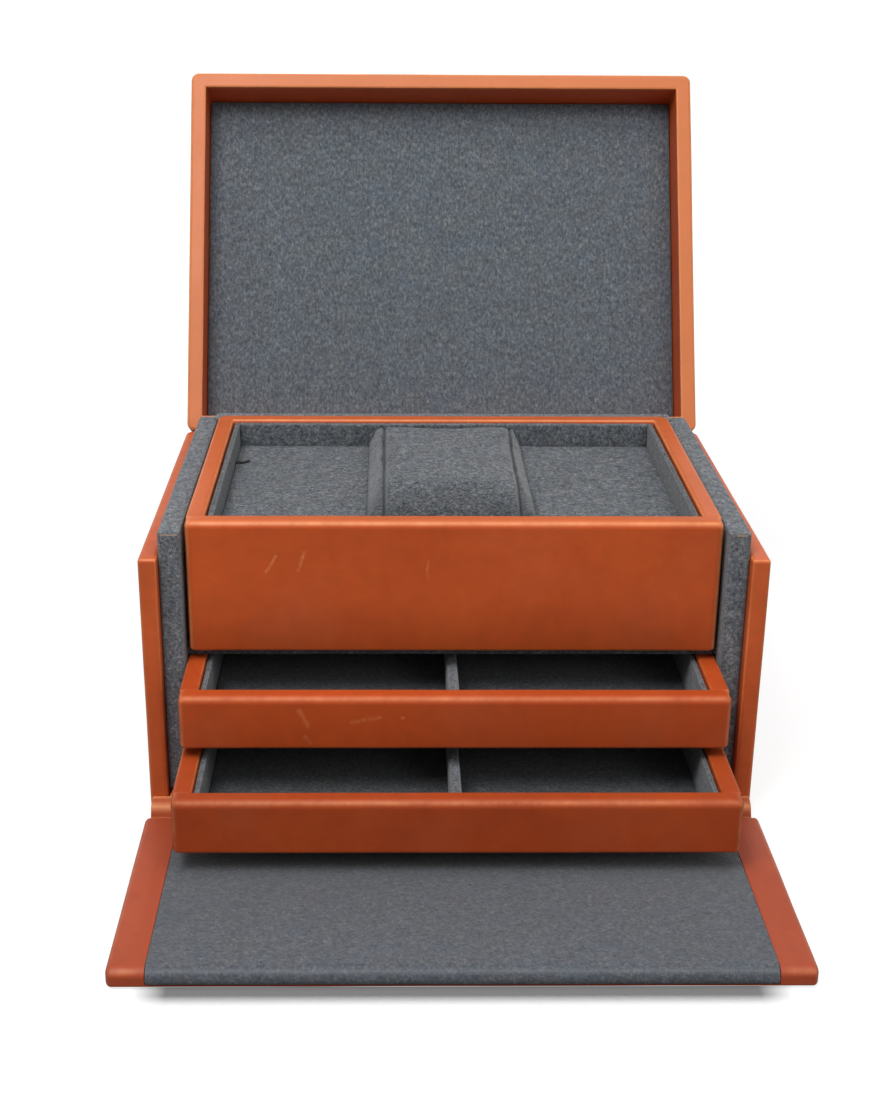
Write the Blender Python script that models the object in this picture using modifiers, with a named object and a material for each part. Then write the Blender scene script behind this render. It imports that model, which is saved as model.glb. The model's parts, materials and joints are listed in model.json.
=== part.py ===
"""Leather-covered watch and jewellery box, lined with felt.

The box stands open: its lid leans back on its hinge, its drop front lies on the ground, and two
drawers stand part way out below a fitted top tray that holds a watch cushion.

Metres, +Z up. The origin is the middle of the case's footprint, and the front looks along -Y.
Every piece is placed as in the closed box, and its carrier, an empty, then opens it.
"""

import math

import bmesh
import bpy

# Case
CASE_WIDTH = 0.280
CASE_DEPTH = 0.1934
CASE_HEIGHT = 0.1271
WALL = 0.0084
BOTTOM = 0.00925

# Felt-covered liners inside the case
LINER = 0.0092
LINER_LIP = 0.0109
BACK_LINER_LIP = 0.0128
LINER_SETBACK = 0.0051
FLOOR_LINER = 0.0086
SHELF = 0.0034
SHELF_SETBACK = 0.015

# Tray and drawers: leather-covered boards round a felt lining
INNER_BOARD = 0.0085
FRONT_SETBACK = 0.0085
TRAY_HEIGHT = 0.0633
TRAY_BASE = 0.003
TRAY_LINING = 0.0032
TRAY_LINING_DROP = 0.0012
DRAWER_HEIGHT = 0.0257
DRAWER_BASE = 0.003
DRAWER_LINING = 0.0024
DRAWER_LINING_DROP = 0.002
DRAWER_FELT = 0.0016
DIVIDER_WIDTH = 0.005
DIVIDER_DROP = 0.0045
DRAWER_PULLS = {"middle": 0.0382, "lower": 0.0763}

# Deck and watch cushion in the tray
DECK = 0.003
DECK_DROP = 0.0134
CUSHION_WIDTH = 0.078
CUSHION_RISE = 0.0008
CUSHION_ROLL = 0.016
CUSHION_END_ROUND = 0.005
WELL_WALL = 0.003

# Lid
LID_RIM = 0.0082
LID_DEPTH = 0.032
LID_TOP = 0.0066
LID_FELT = 0.0025
LID_CORNER = 0.0042
LID_OPEN_ANGLE = math.radians(116.3)

# Drop front
FLAP_THICKNESS = 0.0086
FLAP_BORDER = 0.0155
FLAP_FELT = 0.003
FLAP_FRONT_LEATHER = 0.0018
SILL_INSET = 0.0012

# Leather hinge strips
STRIP = 0.0012
LID_STRIP_START = 0.00245
LID_STRIP_HEIGHT = 0.012
LID_STRIP_INSET = 0.012

# Clearances
SEAT_GAP = 0.0003
CLOSING_GAP = 0.0004
CUSHION_GAP = 0.0008
DRAWER_SIDE_GAP = 0.0009
DRAWER_SLIDE_GAP = 0.0004
DRAWER_BACK_GAP = 0.001
TRAY_SIDE_GAP = 0.0021
TRAY_BACK_GAP = 0.0007

# Edge rounding
LEATHER_EDGE = 0.0018
FELT_EDGE = 0.0012
LINING_EDGE = 0.0008
DIVIDER_EDGE = 0.0015
THIN_EDGE = 0.0003
EDGE_STEPS = 2
CORNER_STEPS = 4
ROLL_STEPS = 6
CUSHION_END_STEPS = 3
BEVEL_ANGLE = math.radians(40)
SHARP_ANGLE = math.radians(30)
STRAIGHT = 0.99
CUTTER_REACH = 0.01

# Places that follow from the sizes above
HALF_WIDTH = CASE_WIDTH / 2
FRONT = -CASE_DEPTH / 2
BACK = CASE_DEPTH / 2
LINER_OUT_X = HALF_WIDTH - WALL - SEAT_GAP
LINER_IN_X = LINER_OUT_X - LINER
LINER_OUT_Y = BACK - WALL - SEAT_GAP
LINER_IN_Y = LINER_OUT_Y - LINER
LINER_FRONT = FRONT + LINER_SETBACK
LINER_TOP = CASE_HEIGHT + LINER_LIP
BACK_LINER_TOP = CASE_HEIGHT + BACK_LINER_LIP
FLOOR_LINER_BASE = BOTTOM + SEAT_GAP
FLOOR_LINER_TOP = FLOOR_LINER_BASE + FLOOR_LINER
INNER_FRONT = FRONT + FRONT_SETBACK
DRAWER_HALF = LINER_IN_X - DRAWER_SIDE_GAP
DRAWER_BACK = LINER_IN_Y - DRAWER_BACK_GAP
LOWER_DRAWER_BASE = FLOOR_LINER_TOP + DRAWER_SLIDE_GAP
LOWER_SHELF_BASE = LOWER_DRAWER_BASE + DRAWER_HEIGHT + DRAWER_SLIDE_GAP
MIDDLE_DRAWER_BASE = LOWER_SHELF_BASE + SHELF + DRAWER_SLIDE_GAP
UPPER_SHELF_BASE = MIDDLE_DRAWER_BASE + DRAWER_HEIGHT + DRAWER_SLIDE_GAP
TRAY_BOTTOM = UPPER_SHELF_BASE + SHELF + SEAT_GAP
TRAY_TOP = TRAY_BOTTOM + TRAY_HEIGHT
TRAY_HALF = LINER_IN_X - TRAY_SIDE_GAP
TRAY_BACK = LINER_IN_Y - TRAY_BACK_GAP
FLAP_BACK = FRONT - CLOSING_GAP
FLAP_FACE = FLAP_BACK - FLAP_THICKNESS
FLAP_LENGTH = CASE_HEIGHT - BOTTOM
LID_BASE = CASE_HEIGHT + CLOSING_GAP
LID_TOP_Z = LID_BASE + LID_DEPTH


def material(name, color, roughness):
    """A plain Principled material, of which each piece takes its own copy."""
    made = bpy.data.materials.new(name)
    made.use_nodes = True
    shader = made.node_tree.nodes["Principled BSDF"]
    shader.inputs["Base Color"].default_value = (*color, 1.0)
    shader.inputs["Roughness"].default_value = roughness
    made.diffuse_color = (*color, 1.0)
    return made


def clear_scene():
    for old in list(bpy.data.objects):
        bpy.data.objects.remove(old, do_unlink=True)


def new_collection(name):
    made = bpy.data.collections.new(name)
    bpy.context.scene.collection.children.link(made)
    return made


class Carrier:
    """An empty on a joint's axis, with the pieces that it carries placed as in the closed box."""

    def __init__(self, name, home, collection):
        self.home = home
        self.collection = collection
        self.empty = bpy.data.objects.new(name, None)
        self.empty.location = home
        collection.objects.link(self.empty)

    def add(self, name, mesh, center, finish):
        piece = bpy.data.objects.new(name, mesh)
        piece.location = [c - h for c, h in zip(center, self.home)]
        piece.parent = self.empty
        own = finish.copy()
        own.name = name
        mesh.materials.append(own)
        self.collection.objects.link(piece)
        return piece


def box_mesh(name, spans, corner=0.0):
    """A box over three (low, high) spans, about its own centre, its upright edges rounded by corner."""
    shape = bmesh.new()
    bmesh.ops.create_cube(shape, size=1.0)
    bmesh.ops.scale(shape, vec=[high - low for low, high in spans], verts=shape.verts)
    if corner:
        upright = [edge for edge in shape.edges if is_along(edge, 2)]
        bmesh.ops.bevel(
            shape, geom=upright, offset=corner, segments=CORNER_STEPS, profile=0.5, affect="EDGES"
        )
    mesh = bpy.data.meshes.new(name)
    shape.to_mesh(mesh)
    shape.free()
    return mesh


def is_along(edge, axis):
    run = edge.verts[1].co - edge.verts[0].co
    return abs(run[axis]) > STRAIGHT * run.length


def middle(spans):
    return [(low + high) / 2 for low, high in spans]


def round_edges(piece, width):
    bevel = piece.modifiers.new("rounded edges", "BEVEL")
    bevel.width = width
    bevel.segments = EDGE_STEPS
    bevel.limit_method = "ANGLE"
    bevel.angle_limit = BEVEL_ANGLE
    return bevel


def add_board(carrier, name, spans, finish, edge=LEATHER_EDGE, corner=0.0):
    """A board with rounded edges, over its x, y and z spans in the closed box."""
    piece = carrier.add(name, box_mesh(name, spans, corner), middle(spans), finish)
    round_edges(piece, edge)
    piece.data.shade_smooth()
    piece.data.set_sharp_from_angle(angle=SHARP_ANGLE)
    return piece


def sided(sign, inner, outer):
    """The span between two distances from the middle plane, on the left for -1 and the right for 1."""
    return tuple(sorted((sign * inner, sign * outer)))


SIDES = (("left", -1), ("right", 1))


def add_case(case, leather, felt):
    """Bottom board, three walls, the liners of the side walls and the sill below the opening."""
    inside = LINER_OUT_X
    board = ((-inside, inside), (FRONT, LINER_OUT_Y), (0, BOTTOM))
    add_board(case, "bottom_board", board, leather, FELT_EDGE)
    for side, sign in SIDES:
        span = sided(sign, HALF_WIDTH - WALL, HALF_WIDTH)
        add_board(case, f"{side}_wall", (span, (FRONT, BACK), (0, CASE_HEIGHT)), leather)
        span = sided(sign, LINER_IN_X, LINER_OUT_X)
        depth = (LINER_FRONT, LINER_OUT_Y)
        add_board(case, f"{side}_liner", (span, depth, (FLOOR_LINER_BASE, LINER_TOP)), felt, FELT_EDGE)
    add_board(case, "back_wall", ((-inside, inside), (BACK - WALL, BACK), (0, CASE_HEIGHT)), leather)
    sill = HALF_WIDTH - SILL_INSET
    depth = (FLAP_FACE + SEAT_GAP, FRONT - SEAT_GAP)
    add_board(case, "front_sill", ((-sill, sill), depth, (0, BOTTOM - CLOSING_GAP)), leather, FELT_EDGE)


def add_liners(case, felt):
    """Back liner, floor liner and the two shelves, all between the side liners."""
    inside = LINER_IN_X - SEAT_GAP
    depth = (LINER_FRONT, LINER_IN_Y - SEAT_GAP)
    shelf_depth = (FRONT + SHELF_SETBACK, LINER_IN_Y - SEAT_GAP)
    width = (-inside, inside)
    upright = (width, (LINER_IN_Y, LINER_OUT_Y), (FLOOR_LINER_BASE, BACK_LINER_TOP))
    add_board(case, "back_liner", upright, felt, FELT_EDGE)
    add_board(case, "floor_liner", (width, depth, (FLOOR_LINER_BASE, FLOOR_LINER_TOP)), felt, FELT_EDGE)
    for name, base in (("lower_shelf", LOWER_SHELF_BASE), ("upper_shelf", UPPER_SHELF_BASE)):
        add_board(case, name, (width, shelf_depth, (base, base + SHELF)), felt, FELT_EDGE)


def add_lined_box(carrier, name, spans, base, lining, drop, leather, felt):
    """Four leather-covered boards and a base, with a felt lining inside each board.

    The front and back run full width and the sides stand between them. It returns the x, y spans
    of the room inside the linings and the height of the top of the base.
    """
    (left, right), (front, back), (bottom, top) = spans
    x_in = right - INNER_BOARD
    y_in = (front + INNER_BOARD, back - INNER_BOARD)
    add_board(carrier, f"{name}_front", ((left, right), (front, y_in[0]), (bottom, top)), leather)
    add_board(carrier, f"{name}_back", ((left, right), (y_in[1], back), (bottom, top)), leather)
    between = (y_in[0] + SEAT_GAP, y_in[1] - SEAT_GAP)
    floor = ((-x_in + SEAT_GAP, x_in - SEAT_GAP), between, (bottom, bottom + base))
    add_board(carrier, f"{name}_base", floor, felt, THIN_EDGE)
    base_top = bottom + base + SEAT_GAP
    upright = (base_top, top - drop)
    felt_x = x_in - SEAT_GAP - lining
    for side, sign in SIDES:
        board = (sided(sign, x_in, right), between, (bottom, top))
        add_board(carrier, f"{name}_{side}_side", board, leather)
        panel = (sided(sign, felt_x, x_in - SEAT_GAP), between, upright)
        add_board(carrier, f"{name}_{side}_lining", panel, felt, LINING_EDGE)
    across = (-felt_x + SEAT_GAP, felt_x - SEAT_GAP)
    room = (between[0] + lining, between[1] - lining)
    for end, depth in (("front", (between[0], room[0])), ("back", (room[1], between[1]))):
        add_board(carrier, f"{name}_{end}_lining", (across, depth, upright), felt, LINING_EDGE)
    return across, room, base_top


def add_drawer(carrier, name, base, leather, felt):
    """A drawer with a felt floor and a divider across its middle, placed fully home."""
    spans = ((-DRAWER_HALF, DRAWER_HALF), (INNER_FRONT, DRAWER_BACK), (base, base + DRAWER_HEIGHT))
    across, room, floor = add_lined_box(
        carrier, name, spans, DRAWER_BASE, DRAWER_LINING, DRAWER_LINING_DROP, leather, felt
    )
    inner_room = (room[0] + SEAT_GAP, room[1] - SEAT_GAP)
    floor_felt = (across, inner_room, (floor, floor + DRAWER_FELT))
    add_board(carrier, f"{name}_floor_felt", floor_felt, felt, THIN_EDGE)
    half = DIVIDER_WIDTH / 2
    upright = (floor + DRAWER_FELT + SEAT_GAP, base + DRAWER_HEIGHT - DIVIDER_DROP)
    add_board(carrier, f"{name}_divider", ((-half, half), inner_room, upright), felt, DIVIDER_EDGE)


def add_tray(case, leather, felt):
    """The fitted top tray, its two deck panels beside the cushion and the walls that hold them."""
    spans = ((-TRAY_HALF, TRAY_HALF), (INNER_FRONT, TRAY_BACK), (TRAY_BOTTOM, TRAY_TOP))
    across, room, floor = add_lined_box(
        case, "tray", spans, TRAY_BASE, TRAY_LINING, TRAY_LINING_DROP, leather, felt
    )
    inner_room = (room[0] + SEAT_GAP, room[1] - SEAT_GAP)
    deck_top = TRAY_TOP - DECK_DROP
    slot = CUSHION_WIDTH / 2 + CUSHION_GAP
    for side, sign in SIDES:
        deck = (sided(sign, slot, across[1]), inner_room, (deck_top - DECK, deck_top))
        add_board(case, f"tray_{side}_deck", deck, felt, LINING_EDGE)
        wall = (sided(sign, slot, slot + WELL_WALL), inner_room, (floor, deck_top - DECK - SEAT_GAP))
        add_board(case, f"tray_{side}_well_wall", wall, felt, THIN_EDGE)
    half = CUSHION_WIDTH / 2
    depth = (room[0] + CUSHION_GAP, room[1] - CUSHION_GAP)
    add_cushion(case, ((-half, half), depth, (floor, TRAY_TOP + CUSHION_RISE)), felt)


def add_cushion(case, spans, felt):
    """The watch cushion: its top rolls over at the front and back, and its ends are softly rounded."""
    mesh = box_mesh("watch_cushion", spans)
    shape = bmesh.new()
    shape.from_mesh(mesh)
    rolled = [edge for edge in shape.edges if is_along(edge, 0) and edge.verts[0].co.z > 0]
    bmesh.ops.bevel(
        shape, geom=rolled, offset=CUSHION_ROLL, segments=ROLL_STEPS, profile=0.5, affect="EDGES"
    )
    shape.to_mesh(mesh)
    shape.free()
    cushion = case.add("watch_cushion", mesh, middle(spans), felt)
    round_edges(cushion, CUSHION_END_ROUND).segments = CUSHION_END_STEPS
    mesh.shade_smooth()


def mitred_mesh(name, spans, axis, inward):
    """A rail with both ends cut at 45 degrees: its inner face is shorter by its width at each end."""
    mesh = box_mesh(name, spans)
    across = 1 - axis
    width = spans[across][1] - spans[across][0]
    for vertex in mesh.vertices:
        if vertex.co[across] * inward > 0:
            vertex.co[axis] -= math.copysign(width, vertex.co[axis])
    return mesh


def add_lid(lid, cutters, leather, felt):
    """Four mitred rails cut to one rounded outline, a top panel and a felt panel between them."""
    x_out = HALF_WIDTH
    outline = ((-x_out, x_out), (FLAP_FACE, BACK), (LID_BASE, LID_TOP_Z))
    envelope = bpy.data.objects.new("lid_outline", box_mesh("lid_outline", outline, LID_CORNER))
    envelope.location = [c - h for c, h in zip(middle(outline), lid.home)]
    envelope.parent = lid.empty
    envelope.hide_render = True
    envelope.display_type = "WIRE"
    cutters.objects.link(envelope)
    round_edges(envelope, LEATHER_EDGE)

    height = (LID_BASE, LID_TOP_Z)
    shorter = SEAT_GAP / 2
    rails = (
        ("lid_front_rail", ((-x_out + shorter, x_out - shorter), (FLAP_FACE, FLAP_FACE + LID_RIM)), 0, 1),
        ("lid_back_rail", ((-x_out + shorter, x_out - shorter), (BACK - LID_RIM, BACK)), 0, -1),
        ("lid_left_rail", ((-x_out, -x_out + LID_RIM), (FLAP_FACE + shorter, BACK - shorter)), 1, 1),
        ("lid_right_rail", ((x_out - LID_RIM, x_out), (FLAP_FACE + shorter, BACK - shorter)), 1, -1),
    )
    for name, plan, axis, inward in rails:
        spans = (*plan, height)
        rail = lid.add(name, mitred_mesh(name, spans, axis, inward), middle(spans), leather)
        cut = rail.modifiers.new("rounded outline", "BOOLEAN")
        cut.operation = "INTERSECT"
        cut.object = envelope
        rail.data.shade_smooth()
        rail.data.set_sharp_from_angle(angle=SHARP_ANGLE)

    x_in = x_out - LID_RIM - SEAT_GAP
    depth = (FLAP_FACE + LID_RIM + SEAT_GAP, BACK - LID_RIM - SEAT_GAP)
    panel_base = LID_TOP_Z - LID_TOP
    add_board(lid, "lid_top_panel", ((-x_in, x_in), depth, (panel_base, LID_TOP_Z)), leather, THIN_EDGE)
    felt_top = panel_base - SEAT_GAP
    add_board(
        lid, "lid_felt_panel", ((-x_in, x_in), depth, (felt_top - LID_FELT, felt_top)), felt, LINING_EDGE
    )


def add_lid_strips(case, lid, leather):
    """The leather that hinges the lid, one half on the back wall and one on the lid's back rail."""
    half = HALF_WIDTH - LID_STRIP_INSET
    depth = (BACK + SEAT_GAP, BACK + SEAT_GAP + STRIP)
    low = (CASE_HEIGHT - LID_STRIP_START - LID_STRIP_HEIGHT, CASE_HEIGHT - LID_STRIP_START)
    high = (LID_BASE + LID_STRIP_START, LID_BASE + LID_STRIP_START + LID_STRIP_HEIGHT)
    add_board(case, "lid_hinge_strip_case", ((-half, half), depth, low), leather, THIN_EDGE)
    add_board(lid, "lid_hinge_strip_lid", ((-half, half), depth, high), leather, THIN_EDGE)


def add_cutter(carrier, cutters, name, spans):
    cutter = bpy.data.objects.new(name, box_mesh(name, spans))
    cutter.location = [c - h for c, h in zip(middle(spans), carrier.home)]
    cutter.parent = carrier.empty
    cutter.hide_render = True
    cutter.display_type = "WIRE"
    cutters.objects.link(cutter)
    return cutter


def combine(piece, operation, other):
    change = piece.modifiers.new(other.name, "BOOLEAN")
    change.operation = operation
    change.object = other


def add_drop_front(flap, cutters, leather, felt):
    """The drop front as it stands when closed: a leather board whose felt turns over its free end."""
    z_low, z_high = BOTTOM, BOTTOM + FLAP_LENGTH
    spans = ((-HALF_WIDTH, HALF_WIDTH), (FLAP_FACE, FLAP_BACK), (z_low, z_high))
    board = add_board(flap, "drop_front_board", spans, leather)
    half = HALF_WIDTH - FLAP_BORDER
    bed = FLAP_BACK - FLAP_FELT
    end = z_high - FLAP_FELT
    turn = FLAP_FACE + FLAP_FRONT_LEATHER
    above = FLAP_BACK + CUTTER_REACH
    beyond = z_high + CUTTER_REACH
    bed_cut = ((-half, half), (bed, above), (z_low - CUTTER_REACH, beyond))
    end_cut = ((-half, half), (turn, above), (end, beyond))
    combine(board, "DIFFERENCE", add_cutter(flap, cutters, "felt_bed", bed_cut))
    combine(board, "DIFFERENCE", add_cutter(flap, cutters, "felt_end", end_cut))

    width = (-half + SEAT_GAP, half - SEAT_GAP)
    panel_spans = (width, (bed + SEAT_GAP, FLAP_BACK), (z_low + FELT_EDGE, z_high))
    panel_mesh = box_mesh("drop_front_felt", panel_spans)
    panel = flap.add("drop_front_felt", panel_mesh, middle(panel_spans), felt)
    lip = (width, (turn + SEAT_GAP, FLAP_BACK - FLAP_FELT / 2), (end + SEAT_GAP, z_high))
    combine(panel, "UNION", add_cutter(flap, cutters, "felt_lip", lip))

    strip = HALF_WIDTH - SILL_INSET
    strip_spans = ((-strip, strip), (FLAP_FACE, FLAP_FACE + STRIP), (0, BOTTOM - SEAT_GAP))
    add_board(flap, "drop_front_hinge_strip", strip_spans, leather, THIN_EDGE)


def open_box(lid, flap, drawers):
    """Turn and pull the carriers from the closed box to the state in which the box stands."""
    lid.empty.rotation_euler.x = -LID_OPEN_ANGLE
    flap.empty.rotation_euler.x = math.radians(90)
    for name, drawer in drawers.items():
        drawer.empty.location.y -= DRAWER_PULLS[name]


def main():
    clear_scene()
    parts = new_collection("presentation_box")
    cutters = new_collection("cutters")
    leather = material("leather", (0.46, 0.12, 0.045), 0.55)
    felt = material("felt", (0.11, 0.125, 0.14), 0.95)

    case = Carrier("case", (0, 0, 0), parts)
    lid = Carrier("lid", (0, BACK, CASE_HEIGHT + CLOSING_GAP / 2), parts)
    flap = Carrier("drop_front", (0, FLAP_FACE, 0), parts)
    bases = {"middle": MIDDLE_DRAWER_BASE, "lower": LOWER_DRAWER_BASE}
    drawers = {
        name: Carrier(f"{name}_drawer_slide", (0, INNER_FRONT, base), parts) for name, base in bases.items()
    }

    add_case(case, leather, felt)
    add_liners(case, felt)
    add_tray(case, leather, felt)
    add_lid(lid, cutters, leather, felt)
    add_lid_strips(case, lid, leather)
    add_drop_front(flap, cutters, leather, felt)
    for name, drawer in drawers.items():
        add_drawer(drawer, f"{name}_drawer", bases[name], leather, felt)
    open_box(lid, flap, drawers)


main()
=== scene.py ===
"""Looks of the leather-covered watch and jewellery box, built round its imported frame.

Metres, +Z up, front along -Y. Each piece is shaped upright, as in the closed box, from the boxes of
the nodes that it replaces. The lid's pieces are then turned open about the lid's hinge.
"""

import json
import math

import bmesh
import bpy
from mathutils import Matrix, Vector, noise


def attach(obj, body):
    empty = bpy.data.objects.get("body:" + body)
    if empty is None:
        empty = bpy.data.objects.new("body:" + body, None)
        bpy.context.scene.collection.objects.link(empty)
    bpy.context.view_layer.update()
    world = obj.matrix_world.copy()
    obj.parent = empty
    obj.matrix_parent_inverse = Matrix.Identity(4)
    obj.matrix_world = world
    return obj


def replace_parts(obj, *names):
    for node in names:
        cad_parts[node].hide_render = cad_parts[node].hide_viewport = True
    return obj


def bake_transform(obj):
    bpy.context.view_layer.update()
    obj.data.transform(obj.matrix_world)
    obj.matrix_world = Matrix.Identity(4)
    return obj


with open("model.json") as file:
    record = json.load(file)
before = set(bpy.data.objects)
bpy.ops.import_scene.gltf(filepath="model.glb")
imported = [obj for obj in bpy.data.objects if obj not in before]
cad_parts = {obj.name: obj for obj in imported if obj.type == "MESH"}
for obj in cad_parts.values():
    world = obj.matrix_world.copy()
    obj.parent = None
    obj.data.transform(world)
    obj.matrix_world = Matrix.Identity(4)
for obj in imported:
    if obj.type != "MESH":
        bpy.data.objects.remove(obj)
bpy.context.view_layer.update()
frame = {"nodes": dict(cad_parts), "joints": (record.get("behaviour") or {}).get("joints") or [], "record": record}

BODY_OF = {node: body for body, nodes in frame["record"]["behaviour"]["bodies"].items() for node in nodes}
JOINTS = {joint["name"]: joint for joint in frame["joints"]}

# Camera, fitted to the photograph's edges
CAMERA_PLACE = Vector((-0.0293, -0.7745, 0.3929))
CAMERA_PITCH = math.radians(21.08)
CAMERA_YAW = math.radians(0.788)
CAMERA_ROLL = math.radians(0.353)
CAMERA_LENS = 54.13
CAMERA_SENSOR = 36.0
CAMERA_SHIFT = 0.0283

# How finely the surfaces are drawn
ROUND_STEPS = 4
CORNER_STEPS = 8
FOLD_STEPS = 8
HINGE_STEPS = 10
SUPPORT = 0.0003
MESH_STEP = 0.007
SHARP_ANGLE = math.radians(42)

# Leather
LEATHER_EDGE = 0.0022
FRONT_EDGES = (0.0036, (0.0036, 0.0006), (0.0018, 0.0034))
FLAP_EDGES = (0.0026, (0.0046, 0.0018), (0.0018, 0.0036))
FRAME_JOIN = 0.0016
WALL_EDGE = 0.0019
FRAME_EDGE = 0.0017
CASE_CORNER = 0.0042
FRAME_CORNER = 0.0048
INNER_CORNER = 0.0004
LID_TOP_EDGE = 0.0026
LID_RIM_EDGE = 0.0017
LID_INNER_EDGE = 0.0009
LEATHER_WAVER = 0.00009
LEATHER_WAVE = 0.035
HINGE_THICKNESS = 0.0012
BED_DEPTH = 0.003
NOSE = 0.0052
VALLEY = 0.0024
HINGE_CURVE = 0.0028
HINGE_BULGE = 1.25

# Felt
FELT_EDGE = 0.0013
LINING_EDGE = 0.0014
DRAWER_LINING_EDGE = 0.0011
THIN_EDGE = 0.0004
DIVIDER_EDGE = 0.0021
ACROSS_EDGES = (0.0004, 0.0014, 0.0014)
FELT_WAVER = 0.00016
FELT_WAVE = 0.012
FELT_PROUD = 0.0003
FELT_TURN = 0.0044
FELT_CUT = 0.0008
LINER_STEP = 0.004
LINER_OUT = 0.0002
LINER_IN = 0.0005
LINING_GAP = 0.0004
DECK_REACH = 0.0002
SEAM_GAP = 0.0001
FIT = 0.0002
REACH = 0.01

# Cushion
SEAMS = ((-0.0316, 0.0), (0.0328, 0.0165))
SEAM_DEPTH = 0.0018
SEAM_SHADE = 0.0014
SEAM_COLOR = (0.015, 0.016, 0.018)
SEAM_WIDTH = 0.0009
SEAM_TAIL = 3
SEAM_ROWS = (-2.4, -1.2, -0.6, -0.25, 0.0, 0.25, 0.6, 1.2, 2.4)
CUSHION_START = 0.0012
CUSHION_STEP = 0.004
CUSHION_ROUND = (0.0046, (0.005, 0.0028), 0.005)
CUSHION_SPREAD = 0.0005
CREST = -0.014
FRONT_FALL = 0.026
FRONT_ROLL = 0.9
BACK_FALL = 0.0004
SEAT_HEIGHT = 0.0030
SEAT_BLEND = 0.0045
CUSHION_VOXEL = 0.004
CUSHION_CAP = 0.0035
CUSHION_PRESSURE = 4.0
CLOTH_FRAMES = 20

# Light and floor
WORLD_LIGHT = 0.30
FLOOR_HALF = 12.0
FLOOR_DROP = 0.0002
FLOOR_COLOR = 0.28
NEAR_LIFT = 0.80
FAR_LIFT = 1.0
LIFT_FROM = 0.35
LIFT_TO = 0.8
# A painted shadow on the floor before the flap's end: insets from the flap's sides, start, reach, occlusion range
# and darkness
CONTACT_ENDS = (0.024, 0.010)
CONTACT_START = 0.002
CONTACT_REACH = 0.016
CONTACT_RANGE = (0.82, 0.93)
CONTACT_DARK = 0.80
LIT_POINT = (0.0, -0.02, 0.12)
KEY_PLACE = (-0.38, -0.70, 1.12)
KEY_SIZE = (0.45, 0.45)
KEY_POWER = 8.2
FILL_PLACE = (0.75, -0.95, 0.75)
FILL_SIZE = (0.7, 0.7)
FILL_POWER = 3.0
OVERHEAD_PLACE = (0.0, -0.30, 1.25)
OVERHEAD_SIZE = (1.0, 0.8)
OVERHEAD_POWER = 7.0

# Colours of the hides, deep and light, and of what shows on them
DEEP = (0.44, 0.066, 0.011)
LIGHT = (0.54, 0.088, 0.015)
CASE_HIDE = ((0.475, 0.082, 0.018), (0.57, 0.106, 0.024))
# The drawers' hides are darker copies of the leather: painted shade that deepens downwards, to the lower drawer
MIDDLE_SHADED_HIDE = ((0.375, 0.050, 0.006), (0.460, 0.066, 0.009))
LOWER_SHADED_HIDE = ((0.305, 0.040, 0.005), (0.375, 0.054, 0.007))
HINGE_HIDE = ((0.42, 0.085, 0.026), (0.50, 0.12, 0.044))
FLAP_HIDE = ((0.32, 0.050, 0.016), (0.39, 0.066, 0.022))
ROSY = (0.51, 0.100, 0.033)
# Pale of scuffs and of the edges, which on the edges is partly wear and partly a painted highlight
WORN_AND_HIGHLIGHT = (0.86, 0.35, 0.14)
# Colour of the painted highlight on the lid's rim and the tray's rims
PAINTED_HIGHLIGHT = (0.62, 0.235, 0.082)
DARK_MARK = (0.12, 0.03, 0.012)
HIDE_ROUGHNESS = 0.45
DULL_ROUGHNESS = 0.55

# Least and most wear and painted highlight on the hides' edges
WEAR_AND_HIGHLIGHT = (0.5, 0.9)
CASE_WEAR_AND_HIGHLIGHT = (0.25, 0.55)
TRAY_WEAR_AND_HIGHLIGHT = (0.35, 0.7)
DRAWER_WEAR_AND_HIGHLIGHT = (0.1, 0.4)
FLAP_WEAR_AND_HIGHLIGHT = (0.1, 0.4)

# Bands of hide, painted highlight at the lid's and the tray's rims and painted shade at the tray's foot: two
# heights from that rim or foot, and a share or a factor
LID_RIM_HIGHLIGHT = (0.003, 0.001, 0.5)
TRAY_RIM_HIGHLIGHT = (-0.002, -0.0005, 0.18)
TRAY_FOOT_SHADE = (0.0, 0.028, 0.70)
# Painted shade at the foot of the middle drawer's front
MIDDLE_FOOT_SHADE = 0.84

# Sizes of the hide's patterns
CLOUDS = 0.075
ROSY_PATCHES = 0.05
MOTTLE = 0.009
WEAR_AND_HIGHLIGHT_PATCHES = 0.018
MARK_BREAKS = 0.0022
MARK_WANDER = 0.0022
WANDER_SCALE = 140.0
PORES = 0.0008
CREASES = 0.006

# Scuffs: start and end, width and strength, which is below 0 for a dark mark
TRAY_MARKS = (
    ((-0.0842, -0.0882, 0.1175), (-0.0793, -0.0882, 0.1254), 0.0011, 0.45),
    ((-0.0700, -0.0882, 0.1186), (-0.0666, -0.0882, 0.1274), 0.0011, 0.4),
    ((-0.0117, -0.0882, 0.1226), (-0.0117, -0.0882, 0.1149), 0.0007, 0.3),
)
MIDDLE_MARKS = (
    ((-0.0681, -0.1264, 0.0682), (-0.0649, -0.1264, 0.0602), 0.0016, 0.22),
    ((-0.0656, -0.1264, 0.0550), (-0.0634, -0.1264, 0.0526), 0.0014, 0.18),
    ((-0.0449, -0.1264, 0.0620), (-0.0328, -0.1264, 0.0650), 0.0013, 0.28),
    ((-0.0236, -0.1264, 0.0644), (-0.0232, -0.1264, 0.0646), 0.0011, 0.4),
)
FLAP_MARKS = (((0.1320, -0.1290, 0.0086), (0.1322, -0.1400, 0.0086), 0.0012, -0.25),)

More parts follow.
